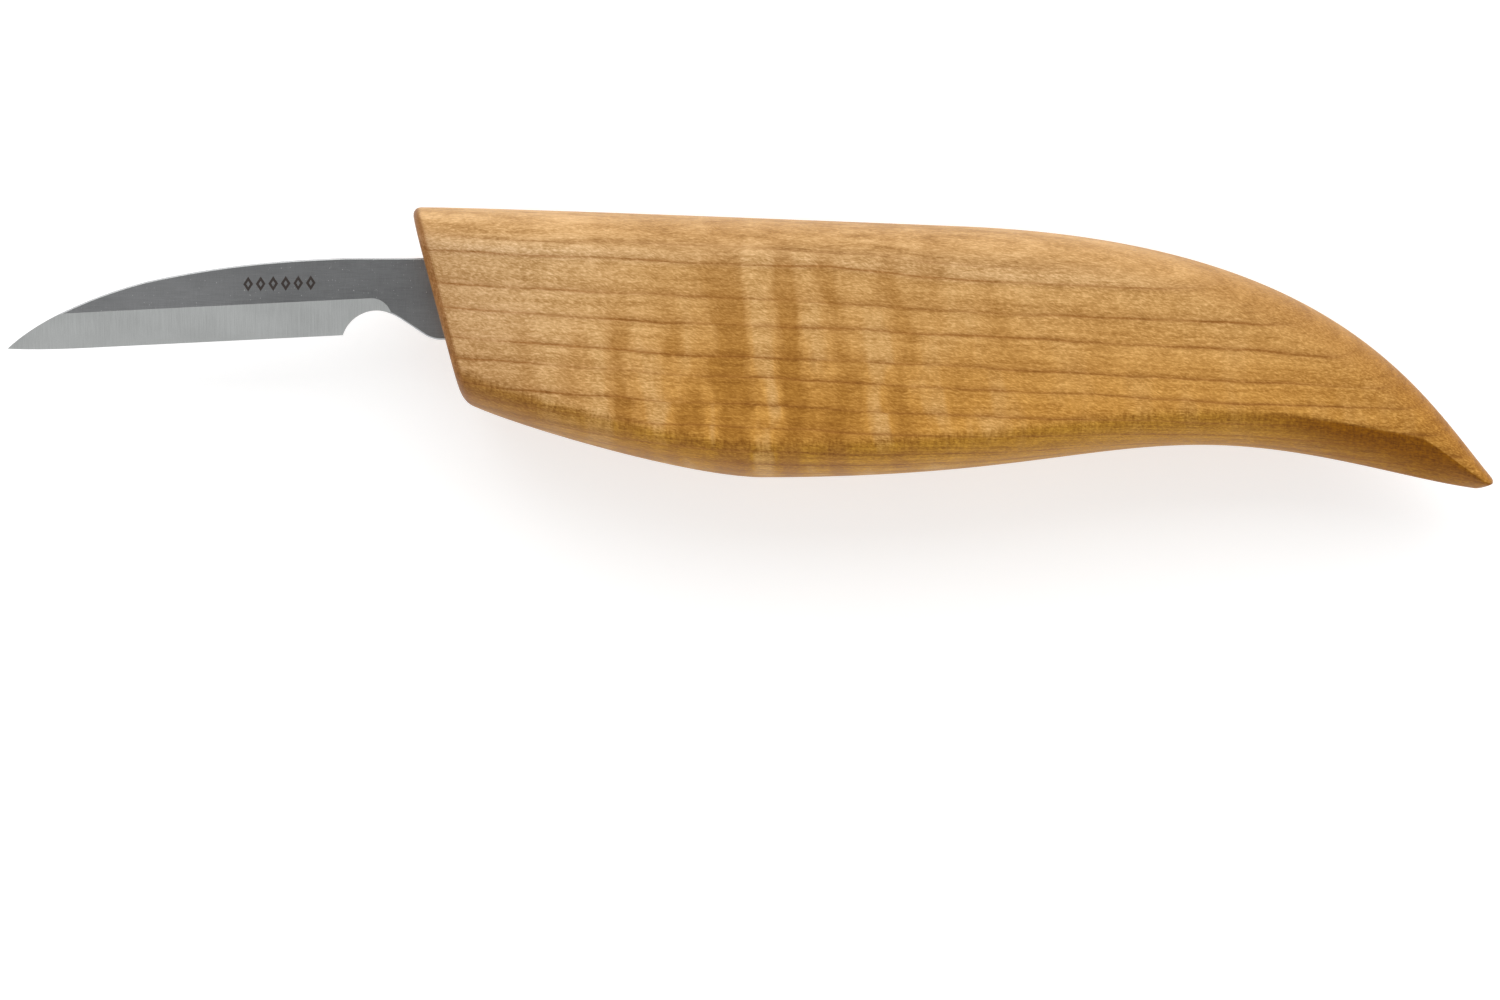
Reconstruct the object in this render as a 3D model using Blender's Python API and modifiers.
"""Chip carving knife: a one-piece steel blade, bonded by its hidden tang into a wooden handle.

The knife lies on one flank. X runs from the blade's tip to the handle's tail, Y from the cutting edge to
the spine, and Z up through the thickness. The origin is the middle of the knife's underside.
Outlines are drawn in a side view whose zero is on the tang's centre line, straight below the front corner
of the handle's back: x grows towards the tail and y towards the spine.
"""
import math

import bmesh
import bpy
import numpy
from mathutils import Matrix, Vector
from mathutils.geometry import interpolate_bezier

MM = 0.001

# Blade
EDGE_LENGTH = 40.25 * MM
STRAIGHT_EDGE = 29.3 * MM       # the edge is straight this far from the heel, then curves up to the tip
EDGE_ANGLE = math.radians(2.84)     # the edge falls away from the tang's line towards the tip
HEEL_REACH = 8.25 * MM          # the heel stands this far in front of the side view's zero
HEEL_DROP = 4.35 * MM           # below the tang's centre line
TIP_DROP = 5.97 * MM
BLADE_THICKNESS = 2.0 * MM
BLADE_HEIGHT = 9.8 * MM         # spine to underside, where the blade enters the handle
EDGE_BREAK = 0.25 * MM          # the blank's rims are rounded over by this much

# The spine's curve as (share of the edge's length in front of the heel, share of the fall to the tip): its
# start, two handles, a middle knot, two handles, and the tip
SPINE_START = (-0.009, 0.0)
SPINE_START_HANDLE = (0.071, 0.017)
SPINE_MIDDLE_HANDLES = ((0.280, 0.020), (0.640, 0.304))
SPINE_MIDDLE = (0.565, 0.245)
SPINE_TIP_HANDLE = (0.871, 0.561)

# Bevel, ground alike on both sides
BEVEL_HEIGHT = 4.25 * MM        # shoulder line to cutting edge
EDGE_LAND = 0.1 * MM            # thickness left at the cutting edge
PLUNGE_REACH = 3.55 * MM        # the bevel runs this far past the heel before its rounded end
PLUNGE_RADIUS = 2.5 * MM

# Finger notch behind the heel
NOTCH_RADIUS = 4.3 * MM
NOTCH_WALL_ANGLE = math.radians(72)     # at the heel
RAMP_REACH = 3.0 * MM           # from the notch's highest point to the start of its straight ramp
RAMP_FALL = 1.1 * MM
RAMP_ANGLE = math.radians(33.5)
RAMP_FILLET = 1.0 * MM          # length of ramp, and of underside, that the fillet takes up

# Tang, and the bed that bonds it
TANG_START = 6.6 * MM           # its taper starts here
TANG_LENGTH = 44 * MM
TANG_END_HEIGHT = 6.5 * MM
TANG_CORNER = 1.2 * MM
KEY_HOLE_DIAMETER = 3.0 * MM
KEY_HOLE_SHARES = (0.35, 0.75)      # of the tang's length
BED_WALL = 0.3 * MM             # epoxy on every side of the tang
GAP = 0.1 * MM                  # between pieces that touch
BED_RECESS = 0.3 * MM           # the epoxy stops this far behind the handle's front face

# Handle
HANDLE_LENGTH = 130.1 * MM
HANDLE_DEPTH = 32.4 * MM        # from the back's front corner to the deepest part of the belly
HANDLE_THICKNESS = 22 * MM
FRONT_THICKNESS = 15.5 * MM
TAIL_THICKNESS = 5.5 * MM
BACK_RISE = 11.0 * MM           # from the tang's centre line to the back's front corner
FRONT_DEPTH = 23.2 * MM
FRONT_SETBACK = 6.2 * MM        # the front face leans back by this much from top to bottom
FLANK_START = 0.19              # shares of the length between which the flanks are flat and parallel
FLANK_END = 0.50
BACK_ROUNDING = 6.0 * MM        # depth of the round-over along the back, and along the belly
BELLY_ROUNDING = 4.8 * MM
FRONT_ROUNDING = 1.2 * MM
TAIL_ROUNDING = 0.6 * MM
FULLNESS = 2.2                  # power of the round-overs' curve: 2 is an ellipse, more is squarer
TAIL_RIDGE_FULLNESS = 1.35      # under the tail the round-over turns into a facet below a soft ridge
TAIL_RIDGE_START = 0.72         # shares of the length over which it does so
TAIL_RIDGE_END = 0.95
BACK_ROUNDING_LIMIT = 0.45      # no round-over takes more than these shares of a section's depth
BELLY_ROUNDING_LIMIT = 0.50

# Outlines as (share of the length, share of the depth), counted from the back's front corner. Each curve
# has its start, two handles and its end, and the next curve starts where it ends. The belly's first curve
# starts at the front face's lower corner, and its handles' depths are shares of the drop from there.
BACK_CURVES = (
    ((0.0, 0.0), (0.042, -0.006), (0.472, 0.065), (0.51, 0.071)),
    ((0.51, 0.071), (0.864, 0.131), (0.936, 0.719), (1.0, 1.019)),
)
BELLY_FRONT_HANDLES = ((0.065, 0.19), (0.248, 1.0))
BELLY_CURVES = (
    ((0.325, 1.0), (0.544, 1.0), (0.620, 0.88), (0.729, 0.88)),
    ((0.729, 0.88), (0.829, 0.88), (0.918, 1.009), (0.985, 1.043)),
)

STATIONS = 32                   # sections along the handle, between its rounded ends
ROUNDING_STEPS = 3              # sections in each rounded end
QUARTER_STEPS = 7               # steps round each quarter of a section
CURVE_STEPS = 14                # steps along each curved stretch of a flat outline
OUTLINE_STEPS = 60              # points that each of the handle's outline curves is read from
ROD_STEPS = 24                  # sides of a round cutter
CIRCLE_PULL = 0.5523            # handle length of a quarter circle, as a share of its radius
CLEARWAY = 10 * MM              # a cutter runs at least this far past what it cuts


def clear_scene():
    for item in list(bpy.data.objects):
        bpy.data.objects.remove(item, do_unlink=True)


def new_collection(name):
    group = bpy.data.collections.new(name)
    bpy.context.scene.collection.children.link(group)
    return group


def new_material(name, colour, metallic, roughness):
    material = bpy.data.materials.new(name)
    material.use_nodes = True
    shader = material.node_tree.nodes["Principled BSDF"]
    shader.inputs["Base Color"].default_value = (*colour, 1)
    shader.inputs["Metallic"].default_value = metallic
    shader.inputs["Roughness"].default_value = roughness
    return material


def add_part(name, mesh, group, datum, material):
    part = bpy.data.objects.new(name, mesh)
    group.objects.link(part)
    part.parent = datum
    mesh.materials.append(material)
    mesh.shade_smooth()
    mesh.set_sharp_from_angle(angle=math.radians(30))
    return part


def add_cutter(name, mesh, group, datum):
    cutter = bpy.data.objects.new(name, mesh)
    group.objects.link(cutter)
    cutter.parent = datum
    cutter.hide_render = True
    cutter.display_type = "WIRE"
    return cutter


def cut(part, cutter):
    boolean = part.modifiers.new(f"cut_by_{cutter.name}", "BOOLEAN")
    boolean.operation = "DIFFERENCE"
    boolean.solver = "EXACT"
    boolean.object = cutter


def corner(x, y):
    """A knot of a flat outline with straight lines on both sides."""
    return (x, y), None, None


def flat_plate(name, knots, thickness):
    """A plate from its outline. A knot is a place, the handle before it and the handle after it, where a
    missing handle makes that side of the knot straight."""
    curve = bpy.data.curves.new(name, "CURVE")
    curve.dimensions = "2D"
    curve.fill_mode = "BOTH"
    curve.extrude = thickness / 2
    curve.resolution_u = CURVE_STEPS
    spline = curve.splines.new("BEZIER")
    spline.bezier_points.add(len(knots) - 1)
    spline.use_cyclic_u = True
    for knot, (place, before, after) in zip(spline.bezier_points, knots):
        knot.co = (*place, 0)
        knot.handle_left_type = "FREE" if before else "VECTOR"
        knot.handle_right_type = "FREE" if after else "VECTOR"
        if before:
            knot.handle_left = (*before, 0)
        if after:
            knot.handle_right = (*after, 0)
    drawing = bpy.data.objects.new(name, curve)
    bpy.context.scene.collection.objects.link(drawing)
    graph = bpy.context.evaluated_depsgraph_get()
    mesh = bpy.data.meshes.new_from_object(drawing.evaluated_get(graph))
    bpy.data.objects.remove(drawing)
    bpy.data.curves.remove(curve)
    mesh.name = name
    shape = bmesh.new()
    shape.from_mesh(mesh)
    bmesh.ops.remove_doubles(shape, verts=shape.verts, dist=0.001 * MM)
    bmesh.ops.dissolve_limit(shape, angle_limit=math.radians(0.1), verts=shape.verts, edges=shape.edges)
    shape.to_mesh(mesh)
    shape.free()
    return mesh


def break_rims(mesh, width):
    """Round over the rims of a plate, where its two flat faces end."""
    shape = bmesh.new()
    shape.from_mesh(mesh)
    rims = []
    for edge in shape.edges:
        level = edge.verts[0].co.z == edge.verts[1].co.z
        if level and abs(edge.calc_face_angle() - math.pi / 2) < 0.01:
            rims.append(edge)
    bmesh.ops.bevel(shape, geom=rims, offset=width, offset_type="OFFSET", segments=2, profile=0.5,
                    affect="EDGES", material=-1, clamp_overlap=True)
    shape.to_mesh(mesh)
    shape.free()


def edge_direction():
    """From the heel towards the tip."""
    return Vector((-math.cos(EDGE_ANGLE), -math.sin(EDGE_ANGLE)))


def tang_knots(room):
    """The tang's taper, from its spine side round its end to its underside, with room added all round."""
    root = BLADE_HEIGHT / 2 + room
    end = TANG_END_HEIGHT / 2 + room
    tail = TANG_START + TANG_LENGTH + room
    radius = TANG_CORNER + room
    pull = radius * CIRCLE_PULL
    return [
        corner(TANG_START, root),
        ((tail - radius, end), None, (tail - radius + pull, end)),
        ((tail, end - radius), (tail, end - radius + pull), None),
        ((tail, radius - end), None, (tail, radius - end - pull)),
        ((tail - radius, -end), (tail - radius + pull, -end), None),
        corner(TANG_START, -root),
    ]


def notch_knots(heel):
    """The underside in front of the handle: fillet, straight ramp, and the round notch down to the heel."""
    underside = -BLADE_HEIGHT / 2
    crown = heel + NOTCH_RADIUS * Vector((math.sin(NOTCH_WALL_ANGLE), 1 - math.cos(NOTCH_WALL_ANGLE)))
    round_pull = NOTCH_RADIUS * math.tan(NOTCH_WALL_ANGLE / 4) * 4 / 3
    wall = Vector((math.cos(NOTCH_WALL_ANGLE), math.sin(NOTCH_WALL_ANGLE)))
    down_ramp = Vector((math.cos(RAMP_ANGLE), -math.sin(RAMP_ANGLE)))
    ramp_start = crown + Vector((RAMP_REACH, -RAMP_FALL))
    ramp_foot = ramp_start + down_ramp * (ramp_start.y - underside) / math.sin(RAMP_ANGLE)
    ramp_end = ramp_foot - down_ramp * RAMP_FILLET
    level = Vector((1, 0))
    fillet_end = ramp_foot + level * RAMP_FILLET
    fillet_pull = RAMP_FILLET * CIRCLE_PULL
    ramp_pull = RAMP_REACH / 3
    return [
        (fillet_end, None, fillet_end - level * fillet_pull),
        (ramp_end, ramp_end + down_ramp * fillet_pull, None),
        (ramp_start, None, ramp_start - down_ramp * ramp_pull),
        (crown, crown + level * ramp_pull, crown - level * round_pull),
        (heel, heel + wall * round_pull, None),
    ]


def spine_point(share):
    """A point of the spine's curve, from its shares of the edge's length and of the fall to the tip."""
    fall = BLADE_HEIGHT / 2 + TIP_DROP
    return Vector((-HEEL_REACH - share[0] * EDGE_LENGTH, BLADE_HEIGHT / 2 - share[1] * fall))


def blade_knots():
    """The blade's side view, from the tang round the notch and the edge to the tip and back along the spine."""
    heel = Vector((-HEEL_REACH, -HEEL_DROP))
    tip = spine_point((1, 1))
    curve_start = heel + edge_direction() * STRAIGHT_EDGE
    curve_pull = (EDGE_LENGTH - STRAIGHT_EDGE) / 3
    tip_handle = tip + Vector((curve_pull, -curve_pull * math.tan(EDGE_ANGLE)))
    middle_before, middle_after = [spine_point(share) for share in SPINE_MIDDLE_HANDLES]
    return tang_knots(0) + notch_knots(heel) + [
        (curve_start, None, curve_start + edge_direction() * curve_pull),
        (tip, tip_handle, spine_point(SPINE_TIP_HANDLE)),
        (spine_point(SPINE_MIDDLE), middle_after, middle_before),
        (spine_point(SPINE_START), spine_point(SPINE_START_HANDLE), None),
    ]


def bevel_knots():
    """Footprint of the grind on the bevel's plane, measured from the shoulder line straight above the heel."""
    end = PLUNGE_REACH + PLUNGE_RADIUS
    pull = PLUNGE_RADIUS * CIRCLE_PULL
    far = -EDGE_LENGTH - CLEARWAY
    below = -BEVEL_HEIGHT - CLEARWAY
    return [
        ((PLUNGE_REACH, 0), None, (PLUNGE_REACH + pull, 0)),
        ((end, -PLUNGE_RADIUS), (end, -PLUNGE_RADIUS + pull), None),
        corner(end, below),
        corner(far, below),
        corner(far, CLEARWAY / 4),
    ]


def bevel_cutter(group, datum):
    """A slab whose underside is the bevel's plane, and its mirror image below the blade."""
    depth = BLADE_THICKNESS
    mesh = flat_plate("bevel_grind", bevel_knots(), depth)
    mesh.transform(Matrix.Translation((0, 0, depth / 2)))
    cutter = add_cutter("bevel_grind", mesh, group, datum)
    tilt = math.atan((BLADE_THICKNESS - EDGE_LAND) / 2 / BEVEL_HEIGHT)
    cutter.rotation_euler = (tilt, 0, EDGE_ANGLE)
    towards_spine = Vector((-math.sin(EDGE_ANGLE), math.cos(EDGE_ANGLE)))
    place = Vector((-HEEL_REACH, -HEEL_DROP)) + towards_spine * BEVEL_HEIGHT
    cutter.location = (*place, BLADE_THICKNESS / 2)
    mirror = cutter.modifiers.new("both_sides", "MIRROR")
    mirror.use_axis = (False, False, True)
    mirror.mirror_object = datum
    mirror.use_mirror_merge = False
    return cutter


def key_rod(name, number, diameter, group, datum):
    """Round cutter through the tang at one of its key holes."""
    radius = diameter / 2
    length = BLADE_THICKNESS + 2 * CLEARWAY
    mesh = bpy.data.meshes.new(name)
    shape = bmesh.new()
    bmesh.ops.create_cone(shape, cap_ends=True, segments=ROD_STEPS, radius1=radius, radius2=radius, depth=length)
    shape.to_mesh(mesh)
    shape.free()
    cutter = add_cutter(name, mesh, group, datum)
    cutter.location.x = TANG_START + KEY_HOLE_SHARES[number] * TANG_LENGTH
    return cutter


def make_blade(group, cutters, datum):
    mesh = flat_plate("blade", blade_knots(), BLADE_THICKNESS)
    break_rims(mesh, EDGE_BREAK)
    steel = new_material("ground_steel", (0.38, 0.39, 0.40), metallic=1.0, roughness=0.35)
    blade = add_part("blade", mesh, group, datum, steel)
    cut(blade, bevel_cutter(cutters, datum))
    for number in range(len(KEY_HOLE_SHARES)):
        cut(blade, key_rod(f"key_hole_{number + 1}", number, KEY_HOLE_DIAMETER, cutters, datum))
    return blade


def front_face(y):
    """How far back the handle's front face is at height y."""
    return FRONT_SETBACK * (BACK_RISE - y) / FRONT_DEPTH


def slot_size():
    """Length from the side view's zero, height and width of the slot in the handle."""
    room = 2 * GAP + BED_WALL
    return TANG_START + TANG_LENGTH + room, BLADE_HEIGHT + 2 * room, BLADE_THICKNESS + 2 * room


def make_bonding_bed(group, cutters, datum):
    """Epoxy that fills the slot round the tang, and reaches through the tang's key holes."""
    slot_length, slot_height, slot_width = slot_size()
    end = slot_length - GAP
    rise = slot_height / 2 - GAP
    outline = [
        corner(front_face(rise) + BED_RECESS, rise),
        corner(end, rise),
        corner(end, -rise),
        corner(front_face(-rise) + BED_RECESS, -rise),
    ]
    mesh = flat_plate("bonding_bed", outline, slot_width - 2 * GAP)
    epoxy = new_material("cured_epoxy", (0.60, 0.47, 0.24), metallic=0.0, roughness=0.3)
    bed = add_part("bonding_bed", mesh, group, datum, epoxy)
    root = BLADE_HEIGHT / 2 + GAP
    room_outline = tang_knots(GAP) + [corner(-CLEARWAY, -root), corner(-CLEARWAY, root)]
    room = add_cutter("tang_room", flat_plate("tang_room", room_outline, BLADE_THICKNESS + 2 * GAP), cutters, datum)
    for number in range(len(KEY_HOLE_SHARES)):
        cut(room, key_rod(f"epoxy_plug_{number + 1}", number, KEY_HOLE_DIAMETER - 2 * GAP, cutters, datum))
    cut(bed, room)
    return bed


def side_point(share):
    """A point of the handle's outline in the side view, from its shares of the length and the depth."""
    return Vector((share[0] * HANDLE_LENGTH, BACK_RISE - share[1] * HANDLE_DEPTH))


def trace(curves):
    """Points along a chain of curves, as a list of x and a list of y."""
    points = []
    for start, leaving, arriving, end in curves:
        points += interpolate_bezier(start, leaving, arriving, end, OUTLINE_STEPS)
    return [point.x for point in points], [point.y for point in points]


def back_outline():
    return trace([[side_point(share) for share in curve] for curve in BACK_CURVES])


def belly_outline():
    front_corner = Vector((FRONT_SETBACK, BACK_RISE - FRONT_DEPTH))
    drop = HANDLE_DEPTH - FRONT_DEPTH
    handles = [Vector((x * HANDLE_LENGTH, front_corner.y - depth * drop)) for x, depth in BELLY_FRONT_HANDLES]
    curves = [[side_point(share) for share in curve] for curve in BELLY_CURVES]
    return trace([[front_corner, *handles, curves[0][0]]] + curves)


def half_thickness(share):
    """Half the handle's thickness: it swells from the front, stays flat, and thins towards the tail."""
    full = HANDLE_THICKNESS / 2
    ahead = max(0, 1 - share / FLANK_START)
    behind = max(0, (share - FLANK_END) / (1 - FLANK_END))
    return full - (full - FRONT_THICKNESS / 2) * ahead ** 2 - (full - TAIL_THICKNESS / 2) * behind ** 2


def belly_fullness(share):
    towards_tail = min(1, max(0, (share - TAIL_RIDGE_START) / (TAIL_RIDGE_END - TAIL_RIDGE_START)))
    return FULLNESS + (TAIL_RIDGE_FULLNESS - FULLNESS) * towards_tail


def round_over(half, depth, fullness):
    """One quarter of a section, from its centre line out to the flank, as (half width, depth) pairs."""
    pairs = []
    for angle in numpy.linspace(0, math.pi / 2, QUARTER_STEPS + 1):
        across = max(0, math.sin(angle)) ** (2 / fullness)
        down = max(0, math.cos(angle)) ** (2 / fullness)
        pairs.append((half * across, depth * (1 - down)))
    return pairs


def section(share, inset, back, belly):
    """Ring of points round the handle at a share of its length, drawn in by inset."""
    upper_x = share * HANDLE_LENGTH
    lower_x = FRONT_SETBACK + share * (belly[0][-1] - FRONT_SETBACK)
    upper = Vector((upper_x, numpy.interp(upper_x, *back)))
    lower = Vector((lower_x, numpy.interp(lower_x, *belly)))
    down = (lower - upper).normalized()
    depth = (lower - upper).length
    half = half_thickness(share) - inset
    back_round = min(BACK_ROUNDING, BACK_ROUNDING_LIMIT * depth) - inset
    belly_round = min(BELLY_ROUNDING, BELLY_ROUNDING_LIMIT * depth) - inset
    near_side = [(across, inset + drop) for across, drop in round_over(half, back_round, FULLNESS)]
    belly_pairs = round_over(half, belly_round, belly_fullness(share))
    near_side += [(across, depth - inset - rise) for across, rise in reversed(belly_pairs)]
    far_side = [(-across, drop) for across, drop in reversed(near_side[1:-1])]
    return [(*(upper + down * drop), across) for across, drop in near_side + far_side]


def handle_stations():
    """Shares of the length, each with the inset that rounds the two ends over."""
    front_share = FRONT_ROUNDING / HANDLE_LENGTH
    tail_share = TAIL_ROUNDING / HANDLE_LENGTH
    front = []
    tail = []
    for step in range(ROUNDING_STEPS):
        angle = math.pi / 2 * step / ROUNDING_STEPS
        inwards = 1 - math.cos(angle)
        inset = 1 - math.sin(angle)
        front.append((inwards * front_share, inset * FRONT_ROUNDING))
        tail.append((1 - inwards * tail_share, inset * TAIL_ROUNDING))
    between = [(share, 0) for share in numpy.linspace(front_share, 1 - tail_share, STATIONS)]
    return front + between + tail[::-1]


def make_handle(group, cutters, datum):
    """A loft through sections that lean with the front face and turn upright along the handle."""
    back = back_outline()
    belly = belly_outline()
    shape = bmesh.new()
    rings = []
    for share, inset in handle_stations():
        rings.append([shape.verts.new(point) for point in section(share, inset, back, belly)])
    for ring, following in zip(rings, rings[1:]):
        for index in range(len(ring)):
            shape.faces.new((ring[index - 1], ring[index], following[index], following[index - 1]))
    shape.faces.new(rings[0])
    shape.faces.new(rings[-1])
    bmesh.ops.recalc_face_normals(shape, faces=shape.faces)
    mesh = bpy.data.meshes.new("handle")
    shape.to_mesh(mesh)
    shape.free()
    wood = new_material("oiled_hardwood", (0.50, 0.28, 0.10), metallic=0.0, roughness=0.5)
    handle = add_part("handle", mesh, group, datum, wood)
    cut(handle, slot_cutter(cutters, datum))
    return handle


def slot_cutter(group, datum):
    """Box that cuts the slot for the tang and its bed, out through the front face."""
    slot_length, slot_height, slot_width = slot_size()
    reach = slot_length + CLEARWAY
    mesh = bpy.data.meshes.new("tang_slot")
    shape = bmesh.new()
    bmesh.ops.create_cube(shape, size=1)
    bmesh.ops.scale(shape, vec=(reach, slot_height, slot_width), verts=shape.verts)
    shape.to_mesh(mesh)
    shape.free()
    cutter = add_cutter("tang_slot", mesh, group, datum)
    cutter.location.x = slot_length - reach / 2
    return cutter


def rest_on_origin(datum, parts):
    """Move the datum so that the middle of the knife's underside is the world's origin."""
    places = numpy.array([tuple(vertex.co) for part in parts for vertex in part.data.vertices])
    low = places.min(axis=0)
    high = places.max(axis=0)
    datum.location = (-(low[0] + high[0]) / 2, -(low[1] + high[1]) / 2, -low[2])


clear_scene()
knife = new_collection("chip_carving_knife")
cutting_tools = new_collection("cutters")
datum_point = bpy.data.objects.new("knife_datum", None)
knife.objects.link(datum_point)
knife_blade = make_blade(knife, cutting_tools, datum_point)
make_bonding_bed(knife, cutting_tools, datum_point)
knife_handle = make_handle(knife, cutting_tools, datum_point)
rest_on_origin(datum_point, (knife_blade, knife_handle))
